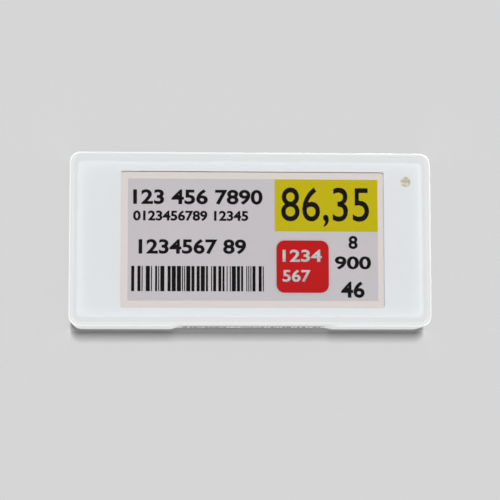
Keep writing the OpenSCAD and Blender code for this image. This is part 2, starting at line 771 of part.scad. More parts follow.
module back_cover() color("whitesmoke") front_view() difference() {
    union() {
        wall_loop(case_w, case_h, corner_r) cover_section();
        layer(floor_front, case_depth - floor_front)
            rounded_rect(inner_w + 2 * weld, inner_h + 2 * weld, inner_r + weld);
        layer(seam, floor_front - seam + weld)
            ring(inner_w + 2 * weld, inner_h + 2 * weld, inner_r + weld, lip_gap + lip_t + weld);
        layer(seam - lip_len, lip_len + weld)
            ring(inner_w - 2 * lip_gap, inner_h - 2 * lip_gap, inner_r - lip_gap, lip_t);
        at_hooks(hook_len) hook_section();
        layer(shelf_front, shelf_t)
            rounded_rect(recess_w + 2 * shelf_rim, recess_h + 2 * shelf_rim, door_r + door_gap + shelf_rim);
        for (side = [-1, 1]) layer(well_front, shelf_front - well_front + weld)
            translate([side * cell_x, 0]) circle(well_outer_r);
    }
    for (side = [-1, 1]) layer(well_front - over, shelf_back - well_front + 2 * over)
        translate([side * cell_x, 0]) circle(well_r);
    blade_slot_depth = shelf_front - blade_top + blade_slot_gap - well_front;
    for (side = [-1, 1]) layer(well_front - over, blade_slot_depth + over)
        translate([side * cell_x - contact_w / 2 - blade_slot_gap, -well_outer_r - over])
            square([contact_w + 2 * blade_slot_gap, well_wall + well_gap + 2 * over]);
    layer(shelf_back, case_depth - shelf_back + over) rounded_rect(recess_w, recess_h, door_r + door_gap);
    layer(case_depth - thumb_depth, thumb_depth + over) translate([recess_w / 2, 0]) circle(thumb_r);
    layer(seam - lip_len - over, lip_len + over) flex_notch(flex_notch_right);
    for (quarter = [1, 3]) side_run(case_w, case_h, quarter, 0, case_w + 2 * over)
        translate([-groove_depth, groove_back - case_depth]) square([groove_depth + over, groove_w]);
    notch_cut();
}

module battery_door() color("white") front_view() difference() {
    union() {
        layer(door_front, door_t) rounded_rect(door_w, door_h, door_r);
        layer(door_front, door_t) translate([door_w / 2 - weld, -nib_w / 2])
            square([weld + nib_rise, nib_w]);
    }
    for (side = [-1, 1]) layer(door_front - over, door_t + 2 * over)
        translate([door_w / 2 - tongue_len, side * tongue_w / 2 - tongue_slot / 2])
            square([tongue_len + over, tongue_slot]);
    for (i = [1:grip_count]) layer(case_depth - grip_depth, grip_depth + over)
        translate([door_w / 2 - i * grip_pitch, 0])
            square([grip_w, tongue_w - 3 * tongue_slot], center = true);
}

module door_pads() color("darkslategray") front_view() for (side = [-1, 1])
    layer(pad_front, pad_t) translate([side * cell_x, 0]) circle(d = pad_d);

front_frame();
front_lens();
window_mask();
lens_tape();
id_strip();
barrier_sheet();
ink_film();
display_glass();
driver_chip();
display_flex();
flex_stiffener();
display_foam();
mid_frame();
light_pipe();
indicator_led();
circuit_board();
radio_chip();
flash_chip();
main_crystal();
watch_crystal();
chip_antenna();
boost_inductor();
boost_transistor();
boost_diodes();
bulk_capacitors();
chip_capacitors();
chip_resistors();
flex_connector();
connector_pins();
flex_latch();
negative_contact(-1);  // left_negative_contact
negative_contact(1);  // right_negative_contact
positive_contact(-1);  // left_positive_contact
positive_contact(1);  // right_positive_contact
cell_can(-1);  // left_cell_can
cell_seal(-1);  // left_cell_seal
cell_cap(-1);  // left_cell_cap
cell_can(1);  // right_cell_can
cell_seal(1);  // right_cell_seal
cell_cap(1);  // right_cell_cap
back_cover();
battery_door();
door_pads();
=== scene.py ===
"""Dresses the electronic shelf label: finishes for every part, the display's picture, lamps and camera."""

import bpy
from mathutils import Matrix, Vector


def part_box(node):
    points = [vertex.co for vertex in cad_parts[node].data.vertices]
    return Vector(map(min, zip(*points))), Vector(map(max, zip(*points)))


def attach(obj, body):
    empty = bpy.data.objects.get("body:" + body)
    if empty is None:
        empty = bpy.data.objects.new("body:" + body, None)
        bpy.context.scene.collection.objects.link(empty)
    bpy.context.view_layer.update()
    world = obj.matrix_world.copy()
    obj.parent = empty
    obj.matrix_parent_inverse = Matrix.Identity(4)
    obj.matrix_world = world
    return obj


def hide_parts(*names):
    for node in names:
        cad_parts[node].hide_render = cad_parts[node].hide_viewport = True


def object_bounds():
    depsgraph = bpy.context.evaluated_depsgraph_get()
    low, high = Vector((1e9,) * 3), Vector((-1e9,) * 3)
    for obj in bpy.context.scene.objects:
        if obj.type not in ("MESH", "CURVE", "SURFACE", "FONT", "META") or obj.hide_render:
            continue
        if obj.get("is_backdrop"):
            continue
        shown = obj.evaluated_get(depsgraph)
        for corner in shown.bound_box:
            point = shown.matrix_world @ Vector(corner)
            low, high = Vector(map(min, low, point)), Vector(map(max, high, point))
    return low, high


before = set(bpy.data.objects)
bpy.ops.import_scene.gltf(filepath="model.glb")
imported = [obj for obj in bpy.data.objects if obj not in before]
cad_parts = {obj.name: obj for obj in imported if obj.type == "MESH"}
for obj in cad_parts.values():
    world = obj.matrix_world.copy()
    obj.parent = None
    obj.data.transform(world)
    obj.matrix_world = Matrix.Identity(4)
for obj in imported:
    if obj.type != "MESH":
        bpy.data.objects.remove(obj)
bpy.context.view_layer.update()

import math
import random

import bmesh
import bpy
from bpy.props import FloatProperty, FloatVectorProperty, IntProperty, PointerProperty, StringProperty
from bpy.types import Operator, Panel, PropertyGroup
from mathutils import Matrix, Vector

bl_info = {
    "name": "Shelf Label",
    "version": (1, 0, 0),
    "blender": (4, 5, 0),
    "location": "View3D > Sidebar > Shelf Label",
    "description": "Finishes, display picture and studio for an electronic shelf label",
    "category": "Object",
}

MM = 0.001
LENS_GROW = 0.000079  # fills the gap round the lens
LENS_CORNER = 0.00098
LENS_EDGE_STEPS = 4
EDGE_LAMP_ANGLE = math.radians(90.5)  # from the front's normal, so that these lamps graze the front
STAGE_GAP = 0.00005  # between the label and the backdrop or the floor
FLAG_GAP = 0.0003
KEY_LAMP_AWAY = 2.0
KEY_LAMP_WIDTH = 0.09


def srgb(r, g, b):
    """Turns a screen colour of 0 to 255 into Blender's linear colour."""
    shares = (r / 255, g / 255, b / 255)
    return tuple(c / 12.92 if c <= 0.04045 else ((c + 0.055) / 1.055) ** 2.4 for c in shares)


def colour_prop(name, description, rgb):
    return FloatVectorProperty(
        name=name, description=description, subtype="COLOR", size=3, min=0, max=1, default=srgb(*rgb)
    )


def length_prop(name, description, mm):
    return FloatProperty(
        name=name, description=description, subtype="DISTANCE", unit="LENGTH", min=0, default=mm * MM
    )


def share_prop(name, description, value):
    return FloatProperty(name=name, description=description, subtype="FACTOR", min=0, max=1, default=value)


def strength_prop(name, description, value):
    return FloatProperty(name=name, description=description, min=0, default=value)


def angle_prop(name, description, radians):
    return FloatProperty(name=name, description=description, subtype="ANGLE", default=radians)


def text_prop(name, description, value):
    return StringProperty(name=name, description=description, default=value)


class LabelCaseSettings(PropertyGroup):
    shell: colour_prop("Shell", "Colour of the glossy white case", (231, 232, 233))
    door: colour_prop("Door", "Colour of the battery door", (229, 230, 231))
    shell_roughness: share_prop("Shell roughness", "How matt the case is", 0.3)
    skin_size: length_prop("Skin size", "Width of the moulded skin's grains", 0.16)
    skin_depth: length_prop("Skin depth", "Depth of the moulded skin", 0.0006)


class LabelFrontSettings(PropertyGroup):
    mask: colour_prop("Mask", "Colour printed behind the lens", (241, 244, 246))
    strip: colour_prop("Strip", "Colour of the identity strip", (226, 226, 224))
    code: colour_prop("Code", "Colour of the strip's bars", (52, 52, 54))
    pipe: colour_prop("Light pipe", "Colour of the indicator's milky light pipe", (236, 229, 215))
    lens_edge: length_prop("Lens edge", "Radius of the lens's polished edge", 0.04)
    lens_clearance: length_prop("Lens clearance", "Air between the lens and what is printed behind it", 0.02)
    bar_step: length_prop("Bar step", "Narrowest bar of the identity strip", 0.24)


class LabelDisplaySettings(PropertyGroup):
    idle: colour_prop("Idle border", "Colour of the film round the picture", (244, 235, 231))
    paper: colour_prop("Paper", "Colour of the picture's background", (219, 213, 217))
    black: colour_prop("Black ink", "Colour of the black particles", (10, 9, 10))
    yellow: colour_prop("Yellow ink", "Colour of the yellow field", (211, 196, 14))
    red: colour_prop("Red ink", "Colour of the red badge", (206, 24, 27))
    pale: colour_prop("Pale ink", "Colour of the figures on the badge", (222, 224, 226))
    capsule: length_prop("Capsule", "Size of the film's ink capsules", 0.06)
    ink_step: length_prop("Ink step", "Height from one ink layer to the next", 0.003)
    headline: text_prop("Headline", "Figures of the first line", "123 456 7890")
    subline: text_prop("Second line", "Figures of the second line", "0123456789 12345")
    unit_line: text_prop("Third line", "Figures of the third line", "1234567 89")
    amount: text_prop("Amount", "Figures in the yellow field", "86,35")
    badge_top: text_prop("Badge, top", "Figures on the badge's first line", "1234")
    badge_low: text_prop("Badge, bottom", "Figures on the badge's second line", "567")
    side_top: text_prop("Side, top", "First figure beside the badge", "8")
    side_mid: text_prop("Side, middle", "Figures in the middle beside the badge", "900")
    side_low: text_prop("Side, bottom", "Figures at the bottom beside the badge", "46")
    bar_seed: IntProperty(name="Bar pattern", description="Number that picks the pattern of bars", default=11, min=0)


class LabelBoardSettings(PropertyGroup):
    board: colour_prop("Board", "Colour of the solder mask", (18, 84, 48))
    track: colour_prop("Tracks", "Colour of the copper under the solder mask", (44, 124, 74))
    chip: colour_prop("Chips", "Colour of the moulded chips", (38, 38, 40))
    flex: colour_prop("Flexible tail", "Colour of the display's tail", (196, 128, 44))
    steel: colour_prop("Steel", "Colour of the cells and contacts", (198, 198, 196))
    gold: colour_prop("Gold", "Colour of the connector's pins", (232, 190, 104))


class LabelStageSettings(PropertyGroup):
    background: colour_prop("Background", "Colour behind the label", (214, 214, 214))
    wall: share_prop("Wall", "Reflectance of the backdrop", 0.715)
    floor: share_prop("Floor", "Reflectance of the floor", 0.72)
    ambient: strength_prop("Ambient", "Strength of the even light", 0.08)
    key: strength_prop("Key lamp", "Light that the front lamp brings", 2.78)
    key_height: angle_prop("Key height", "How far above the label's face the front lamp hangs", math.radians(6.5))
    key_spread: angle_prop("Key spread", "How tall the front lamp looks from the label", math.radians(13.5))
    edge: strength_prop("Edge lamps", "Strength of the lamps over and beside the label", 2.05)
    low: strength_prop("Low lamp", "Strength of the lamp under the label", 2.3)
    rim: strength_prop("Rim glow", "Brightness of the background that edges mirror from the sides", 1.2)
    rear: strength_prop("Rear lamp", "Strength of the lamp behind the label", 1.8)
    flag: share_prop("Flags", "Share of bounced light that black flags keep off the backdrop", 0.9)
    camera_place: FloatVectorProperty(
        name="Camera place",
        description="Where the camera stands",
        subtype="TRANSLATION",
        unit="LENGTH",
        default=(-0.0175687, -0.3250287, -0.0166615),
    )
    camera_pitch: angle_prop("Camera pitch", "How far the camera looks up", 0.098)
    camera_yaw: angle_prop("Camera yaw", "How far the camera looks to the right", 0.0544)
    camera_roll: angle_prop("Camera roll", "How far the camera leans", -0.0014)
    camera_lens: FloatProperty(
        name="Camera lens", description="Focal length", subtype="DISTANCE_CAMERA", default=119.893, min=1
    )


# ---- Shader node groups ----

NUMBER, COLOUR, VECTOR = "NodeSocketFloat", "NodeSocketColor", "NodeSocketVector"


def new_group(name, inputs, outputs):
    tree = bpy.data.node_groups.new(name, "ShaderNodeTree")
    for label, kind, value in inputs:
        socket = tree.interface.new_socket(label, in_out="INPUT", socket_type=kind)
        if value is not None:
            socket.default_value = value
    for label, kind in outputs:
        tree.interface.new_socket(label, in_out="OUTPUT", socket_type=kind)
    return tree, tree.nodes.new("NodeGroupInput"), tree.nodes.new("NodeGroupOutput")


def feed(tree, socket, value):
    """Sets a socket to a number or a colour, or links another socket to it."""
    if isinstance(value, (int, float)):
        socket.default_value = value
    elif isinstance(value, tuple):
        socket.default_value = (*value[:3], 1)
    else:
        tree.links.new(value, socket)


def blend_shaders(tree, factor, first, second, out):
    """Sends a mix of two shader nodes to an output node."""
    blend = tree.nodes.new("ShaderNodeMixShader")
    feed(tree, blend.inputs[0], factor)
    tree.links.new(first.outputs[0], blend.inputs[1])
    tree.links.new(second.outputs[0], blend.inputs[2])
    tree.links.new(blend.outputs[0], out.inputs["Surface"])


def math_node(tree, operation, a, b=None, clamp=False):
    node = tree.nodes.new("ShaderNodeMath")
    node.operation = operation
    node.use_clamp = clamp
    for slot, value in ((0, a), (1, b)):
        if value is not None:
            feed(tree, node.inputs[slot], value)
    return node.outputs[0]


def mix_colour(tree, factor, a, b, blend="MIX"):
    node = tree.nodes.new("ShaderNodeMix")
    node.data_type = "RGBA"
    node.blend_type = blend
    for slot, value in ((0, factor), (6, a), (7, b)):
        feed(tree, node.inputs[slot], value)
    return node.outputs[2]


def noise(tree, vector, scale, detail=3.0, roughness=0.5):
    node = tree.nodes.new("ShaderNodeTexNoise")
    node.inputs["Detail"].default_value = detail
    node.inputs["Roughness"].default_value = roughness
    tree.links.new(vector, node.inputs["Vector"])
    feed(tree, node.inputs["Scale"], scale)
    return node.outputs["Fac"]


def map_range(tree, value, low, high, to_low, to_high):
    node = tree.nodes.new("ShaderNodeMapRange")
    tree.links.new(value, node.inputs["Value"])
    for label, number in (("From Min", low), ("From Max", high), ("To Min", to_low), ("To Max", to_high)):
        feed(tree, node.inputs[label], number)
    return node.outputs[0]


def mapped(tree, vector, rotation=(0, 0, 0), scale=(1, 1, 1)):
    """Turns and stretches the place that a pattern is drawn from."""
    node = tree.nodes.new("ShaderNodeMapping")
    node.inputs["Rotation"].default_value = rotation
    node.inputs["Scale"].default_value = scale
    tree.links.new(vector, node.inputs["Vector"])
    return node.outputs["Vector"]


def moulded_skin_group():
    """Fine grain of a moulded or printed face, with slow changes of tone and gloss."""
    tree, start, end = new_group(
        "Moulded skin",
        [
            ("Place", VECTOR, None),
            ("Colour", COLOUR, (0.8, 0.8, 0.8, 1)),
            ("Grain size", NUMBER, 0.0002),
            ("Tone change", NUMBER, 0.03),
            ("Roughness", NUMBER, 0.4),
            ("Gloss change", NUMBER, 0.06),
        ],
        [("Colour", COLOUR), ("Roughness", NUMBER), ("Height", NUMBER)],
    )
    place = start.outputs["Place"]
    fine = noise(tree, place, math_node(tree, "DIVIDE", 1.0, start.outputs["Grain size"]), 2.0)
    slow = noise(tree, place, 160.0, 3.0, 0.55)
    smear = noise(tree, place, 900.0, 4.0, 0.6)
    tone = math_node(tree, "ADD", math_node(tree, "MULTIPLY", slow, 0.6), math_node(tree, "MULTIPLY", fine, 0.4))
    darker = mix_colour(tree, 1.0, start.outputs["Colour"], (0.55, 0.54, 0.53), "MULTIPLY")
    share = math_node(tree, "MULTIPLY", tone, start.outputs["Tone change"], True)
    tree.links.new(mix_colour(tree, share, start.outputs["Colour"], darker), end.inputs["Colour"])
    swing = math_node(tree, "MULTIPLY", math_node(tree, "SUBTRACT", smear, 0.5), start.outputs["Gloss change"])
    rough = math_node(tree, "ADD", start.outputs["Roughness"], math_node(tree, "MULTIPLY", swing, 2.0), True)
    tree.links.new(rough, end.inputs["Roughness"])
    tree.links.new(fine, end.inputs["Height"])
    return tree


def handling_group():
    """Hairline scuffs and dust specks, as a mask, for faces that hands and shelves touch."""
    tree, start, end = new_group(
        "Handling marks",
        [
            ("Place", VECTOR, None),
            ("Scuffs", NUMBER, 0.2),
            ("Dust", NUMBER, 0.1),
        ],
        [("Mask", NUMBER), ("Height", NUMBER)],
    )
    place = start.outputs["Place"]
    hair = noise(tree, mapped(tree, place, (0.3, 0.9, 0.2), (1.0, 1.0, 22.0)), 300.0, 4.0, 0.7)
    hair = map_range(tree, hair, 0.66, 0.72, 0.0, 1.0)
    patches = map_range(tree, noise(tree, place, 90.0, 2.0), 0.5, 0.68, 0.0, 1.0)
    scuff = math_node(tree, "MULTIPLY", math_node(tree, "MULTIPLY", hair, patches), start.outputs["Scuffs"])
    cells = tree.nodes.new("ShaderNodeTexVoronoi")
    cells.inputs["Scale"].default_value = 1500.0
    tree.links.new(place, cells.inputs["Vector"])
    dots = map_range(tree, cells.outputs["Distance"], 0.05, 0.12, 1.0, 0.0)
    rare = map_range(tree, noise(tree, place, 400.0, 1.0), 0.62, 0.7, 0.0, 1.0)
    dust = math_node(tree, "MULTIPLY", math_node(tree, "MULTIPLY", dots, rare), start.outputs["Dust"])
    tree.links.new(math_node(tree, "ADD", scuff, dust, True), end.inputs["Mask"])
    tree.links.new(math_node(tree, "SUBTRACT", dust, scuff), end.inputs["Height"])
    return tree


def capsule_group():
    """The fine mosaic of ink capsules that every colour on the display is made of."""
    tree, start, end = new_group(
        "Ink capsules",
        [
            ("Place", VECTOR, None),
            ("Colour", COLOUR, (0.5, 0.5, 0.5, 1)),
            ("Capsule size", NUMBER, 0.00006),
            ("Speckle", NUMBER, 0.2),
        ],
        [("Colour", COLOUR), ("Height", NUMBER)],
    )
    place = start.outputs["Place"]
    cells = tree.nodes.new("ShaderNodeTexVoronoi")
    tree.links.new(place, cells.inputs["Vector"])
    tree.links.new(math_node(tree, "DIVIDE", 1.0, start.outputs["Capsule size"]), cells.inputs["Scale"])
    level = tree.nodes.new("ShaderNodeSeparateColor")
    tree.links.new(cells.outputs["Color"], level.inputs[0])
    cloud = noise(tree, place, 1400.0, 3.0, 0.6)
    half_level = math_node(tree, "MULTIPLY", level.outputs[0], 0.5)
    both = math_node(tree, "ADD", half_level, math_node(tree, "MULTIPLY", cloud, 0.5))
    share = math_node(tree, "MULTIPLY", both, start.outputs["Speckle"], True)
    dark = mix_colour(tree, 1.0, start.outputs["Colour"], (0.5, 0.48, 0.5), "MULTIPLY")
    tree.links.new(mix_colour(tree, share, start.outputs["Colour"], dark), end.inputs["Colour"])
    tree.links.new(cells.outputs["Distance"], end.inputs["Height"])
    return tree


def brushing_group():
    """Fine straight lines of rolled metal, with faint stains."""
    tree, start, end = new_group(
        "Metal lines",
        [
            ("Place", VECTOR, None),
            ("Colour", COLOUR, (0.7, 0.7, 0.7, 1)),
            ("Roughness", NUMBER, 0.3),
            ("Line change", NUMBER, 0.2),
        ],
        [("Colour", COLOUR), ("Roughness", NUMBER), ("Height", NUMBER)],
    )
    lines = noise(tree, mapped(tree, start.outputs["Place"], scale=(0.06, 1.0, 1.0)), 9000.0, 3.0, 0.6)
    stain = noise(tree, start.outputs["Place"], 350.0, 4.0, 0.6)
    share = math_node(tree, "MULTIPLY", math_node(tree, "MULTIPLY", lines, stain), start.outputs["Line change"], True)
    dark = mix_colour(tree, 1.0, start.outputs["Colour"], (0.4, 0.39, 0.37), "MULTIPLY")
    tree.links.new(mix_colour(tree, share, start.outputs["Colour"], dark), end.inputs["Colour"])
    swing = math_node(tree, "MULTIPLY", math_node(tree, "SUBTRACT", lines, 0.5), 0.25)
    tree.links.new(math_node(tree, "ADD", start.outputs["Roughness"], swing, True), end.inputs["Roughness"])
    tree.links.new(lines, end.inputs["Height"])
    return tree


def board_group():
    """Copper tracks and vias under the circuit board's solder mask."""
    tree, start, end = new_group(
        "Board tracks",
        [
            ("Place", VECTOR, None),
            ("Mask colour", COLOUR, (0.0, 0.1, 0.03, 1)),
            ("Track colour", COLOUR, (0.03, 0.2, 0.07, 1)),
        ],
        [("Colour", COLOUR), ("Height", NUMBER)],
    )
    place = start.outputs["Place"]
    bricks = tree.nodes.new("ShaderNodeTexBrick")
    bricks.offset = 0.37
    for label, value in (
        ("Scale", 340.0), ("Mortar Size", 0.05), ("Mortar Smooth", 0.1), ("Brick Width", 1.9), ("Row Height", 0.32),
        ("Color1", (0, 0, 0)), ("Color2", (0.25, 0.25, 0.25)), ("Mortar", (1, 1, 1)),
        ("Vector", mapped(tree, place, (math.pi / 2, 0, 0))),
    ):
        feed(tree, bricks.inputs[label], value)
    lines = tree.nodes.new("ShaderNodeSeparateColor")
    tree.links.new(bricks.outputs["Color"], lines.inputs[0])
    holes = tree.nodes.new("ShaderNodeTexVoronoi")
    holes.inputs["Scale"].default_value = 420.0
    tree.links.new(place, holes.inputs["Vector"])
    rings = map_range(tree, holes.outputs["Distance"], 0.1, 0.14, 1.0, 0.0)
    both = math_node(tree, "MAXIMUM", lines.outputs[0], rings, True)
    tree.links.new(
        mix_colour(tree, both, start.outputs["Mask colour"], start.outputs["Track colour"]), end.inputs["Colour"]
    )
    tree.links.new(both, end.inputs["Height"])
    return tree


GROUP_MAKERS = {
    "Moulded skin": moulded_skin_group,
    "Handling marks": handling_group,
    "Ink capsules": capsule_group,
    "Metal lines": brushing_group,
    "Board tracks": board_group,
}


def use_group(tree, name, place, **values):
    """Places a shared group in a material, made on first use, and sets its inputs."""
    shared = bpy.data.node_groups.get(name) or GROUP_MAKERS[name]()
    node = tree.nodes.new("ShaderNodeGroup")
    node.node_tree = shared
    tree.links.new(place, node.inputs["Place"])
    for label, value in values.items():
        feed(tree, node.inputs[label.replace("_", " ")], value)
    return node


# ---- Materials ----


def start_material(name):
    material = bpy.data.materials.new(name)
    material.use_nodes = True
    tree = material.node_tree
    shader = tree.nodes["Principled BSDF"]
    place = tree.nodes.new("ShaderNodeTexCoord").outputs["Object"]
    return material, tree, shader, place


def add_bump(tree, shader, height, depth):
    bump = tree.nodes.new("ShaderNodeBump")
    bump.inputs["Strength"].default_value = 1.0
    bump.inputs["Distance"].default_value = depth
    tree.links.new(height, bump.inputs["Height"])
    tree.links.new(bump.outputs["Normal"], shader.inputs["Normal"])


def plastic(name, colour, roughness=0.4, grain=0.0002, depth=0.000002, tone=0.05, scuffs=0.0, dust=0.0, **sockets):
    """A moulded, printed or painted finish with real grain."""
    material, tree, shader, place = start_material(name)
    skin = use_group(
        tree, "Moulded skin", place, Colour=tuple(colour), Grain_size=grain, Tone_change=tone, Roughness=roughness
    )
    colour_out, height = skin.outputs["Colour"], skin.outputs["Height"]
    if scuffs or dust:
        marks = use_group(tree, "Handling marks", place, Scuffs=scuffs, Dust=dust)
        colour_out = mix_colour(tree, marks.outputs["Mask"], colour_out, (0.42, 0.41, 0.39))
        height = math_node(tree, "ADD", height, marks.outputs["Height"])
    tree.links.new(colour_out, shader.inputs["Base Color"])
    tree.links.new(skin.outputs["Roughness"], shader.inputs["Roughness"])
    add_bump(tree, shader, height, depth)
    for label, value in sockets.items():
        shader.inputs[label.replace("_", " ")].default_value = value
    return material


def metal(name, colour, roughness=0.3, change=0.5, depth=0.000001):
    material, tree, shader, place = start_material(name)
    lines = use_group(tree, "Metal lines", place, Colour=tuple(colour), Roughness=roughness, Line_change=change)
    tree.links.new(lines.outputs["Colour"], shader.inputs["Base Color"])
    tree.links.new(lines.outputs["Roughness"], shader.inputs["Roughness"])
    shader.inputs["Metallic"].default_value = 1.0
    add_bump(tree, shader, lines.outputs["Height"], depth)
    return material


def ink(name, colour, capsule, speckle=0.12, roughness=0.55):
    material, tree, shader, place = start_material(name)
    drops = use_group(tree, "Ink capsules", place, Colour=tuple(colour), Capsule_size=capsule, Speckle=speckle)
    tree.links.new(drops.outputs["Colour"], shader.inputs["Base Color"])
    shader.inputs["Roughness"].default_value = roughness
    shader.inputs["Specular IOR Level"].default_value = 0.2
    add_bump(tree, shader, drops.outputs["Height"], capsule * 0.05)
    return material


def clear(name, tint, roughness=0.0, ior=1.49, haze=0.02):
    """Clear plastic or glass that lets lamps through to what lies behind it."""
    material, tree, shader, place = start_material(name)
    skin = use_group(
        tree, "Moulded skin", place, Colour=tuple(tint), Grain_size=0.004, Tone_change=haze, Roughness=roughness,
        Gloss_change=0.01,
    )
    tree.links.new(skin.outputs["Colour"], shader.inputs["Base Color"])
    tree.links.new(skin.outputs["Roughness"], shader.inputs["Roughness"])
    shader.inputs["IOR"].default_value = ior
    shader.inputs["Transmission Weight"].default_value = 1.0
    through = tree.nodes.new("ShaderNodeBsdfTransparent")
    through.inputs["Color"].default_value = (0.99, 0.99, 0.99, 1)
    path = tree.nodes.new("ShaderNodeLightPath")
    lit = math_node(tree, "MAXIMUM", path.outputs["Is Shadow Ray"], path.outputs["Is Diffuse Ray"])
    blend_shaders(tree, lit, shader, through, tree.nodes["Material Output"])
    return material


def dress(node_names, material):
    """Puts one material on CAD nodes."""
    for name in node_names:
        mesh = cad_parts[name].data
        mesh.materials.clear()
        mesh.materials.append(material)


# ---- Meshes ----


def new_object(name, data):
    made = bpy.data.objects.new(name, data)
    bpy.context.scene.collection.objects.link(made)
    return made


def finish_piece(name, mesh, material, body):
    piece = new_object(name, mesh)
    mesh.materials.clear()
    mesh.materials.append(material)
    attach(piece, body)
    return piece


def corner_points(w, h, r, steps=8):
    """Points round a rounded rectangle about the origin, counter-clockwise."""
    points = []
    for quarter, (sx, sy) in enumerate(((1, 1), (-1, 1), (-1, -1), (1, -1))):
        for i in range(steps + 1):
            angle = math.radians(90 * quarter + 90 * i / steps)
            points.append((sx * (w / 2 - r) + r * math.cos(angle), sy * (h / 2 - r) + r * math.sin(angle)))
    return points


def add_loop(shape, points, y):
    """Adds a loop of corners at one depth, from points of x and z."""
    return [shape.verts.new((x, y, z)) for x, z in points]


def add_sides(shape, near, far):
    """Joins two loops of corners with a band of faces."""
    for i in range(len(near)):
        j = (i + 1) % len(near)
        shape.faces.new((near[j], near[i], far[i], far[j]))


def add_ends(shape, near, far):
    """Closes the first and the last loop of a body."""
    shape.faces.new(near)
    shape.faces.new(list(reversed(far)))


def add_slab(shape, points, front, back):
    """Adds a flat plate to a bmesh, from points of x and z and from two depths of y."""
    near, far = add_loop(shape, points, front), add_loop(shape, points, back)
    add_ends(shape, near, far)
    add_sides(shape, near, far)


def lens_points(more, radius):
    """Points round the lens's outline, grown by a length all round."""
    low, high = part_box("front_lens")
    centre = (low + high) / 2
    points = corner_points(high.x - low.x + 2 * more, high.z - low.z + 2 * more, radius)
    return [(centre.x + x, centre.z + z) for x, z in points]


def box_points(left, right, low, high):
    return [(left, low), (right, low), (right, high), (left, high)]


def mesh_from(shape, name):
    bmesh.ops.recalc_face_normals(shape, faces=shape.faces)
    mesh = bpy.data.meshes.new(name)
    shape.to_mesh(mesh)
    shape.free()
    return mesh


def figures(text, left, right, low, high, front, thick, weight=0.0):
    """Adds figures that fill a box of x and z. Returns a mesh whose face looks to the front."""
    curve = bpy.data.curves.new("figures", "FONT")
    curve.body = text
    curve.size = 1.0
    curve.offset = weight
    curve.resolution_u = 4
    holder = new_object("figures", curve)
    bpy.context.view_layer.update()
    mesh = bpy.data.meshes.new_from_object(holder.evaluated_get(bpy.context.evaluated_depsgraph_get()))
    bpy.data.objects.remove(holder)
    bpy.data.curves.remove(curve)
    if not mesh.vertices:
        raise RuntimeError(f"no figures were made for {text!r}")
    xs = [v.co.x for v in mesh.vertices]
    ys = [v.co.y for v in mesh.vertices]
    wide, tall = max(xs) - min(xs), max(ys) - min(ys)
    shape = bmesh.new()
    shape.from_mesh(mesh)
    bpy.data.meshes.remove(mesh)
    for v in shape.verts:
        x = left + (v.co.x - min(xs)) / wide * (right - left)
        z = low + (v.co.y - min(ys)) / tall * (high - low)
        v.co = (x, front, z)
    for face in shape.faces:
        if face.normal.y > 0:
            face.normal_flip()
    bmesh.ops.dissolve_limit(shape, angle_limit=0.01, verts=shape.verts, edges=shape.edges)
    sides = bmesh.ops.extrude_face_region(shape, geom=list(shape.faces))
    for v in (g for g in sides["geom"] if isinstance(g, bmesh.types.BMVert)):
        v.co.y = front + thick
    return mesh_from(shape, "figures")


def join_meshes(name, meshes):
    shape = bmesh.new()
    for mesh in meshes:
        shape.from_mesh(mesh)
        bpy.data.meshes.remove(mesh)
    return mesh_from(shape, name)


def bar_runs(seed, left, right, step):
    """Splits a width into dark bars of 1 to 4 steps with gaps of 1 to 3 steps."""
    pick = random.Random(seed)
    runs, x = [], left
    while x + step <= right + 1e-9:
        wide = min(step * pick.choice((1, 1, 2, 3, 4)), right - x)
        runs.append((x, x + wide))
        x += wide + step * pick.choice((1, 1, 2, 3))
    if runs[-1][1] < right - step:
        runs.append((right - step, right))
    return runs


# ---- Operators ----


class LABEL_OT_finish_case(Operator):
    """Gives the case halves and the battery door their glossy moulded finish"""

    bl_idname = "label.finish_case"
    bl_label = "Finish the case"

    def execute(self, context):
        look = context.scene.label_case
        shell = plastic(
            "White moulded case", look.shell, look.shell_roughness, look.skin_size, look.skin_depth, 0.02, 0.05, 0.1,
            Coat_Weight=0.25, Coat_Roughness=0.12,
        )
        door = plastic(
            "White moulded door", look.door, look.shell_roughness + 0.12, look.skin_size * 1.6,
            look.skin_depth * 2.2, 0.03, 0.12, 0.12,
        )
        inside = plastic("Pale grey inner frame", srgb(206, 208, 210), 0.45, look.skin_size, look.skin_depth, 0.05)
        dress(["front_frame", "back_cover"], shell)
        dress(["battery_door"], door)
        dress(["mid_frame"], inside)
        return {"FINISHED"}


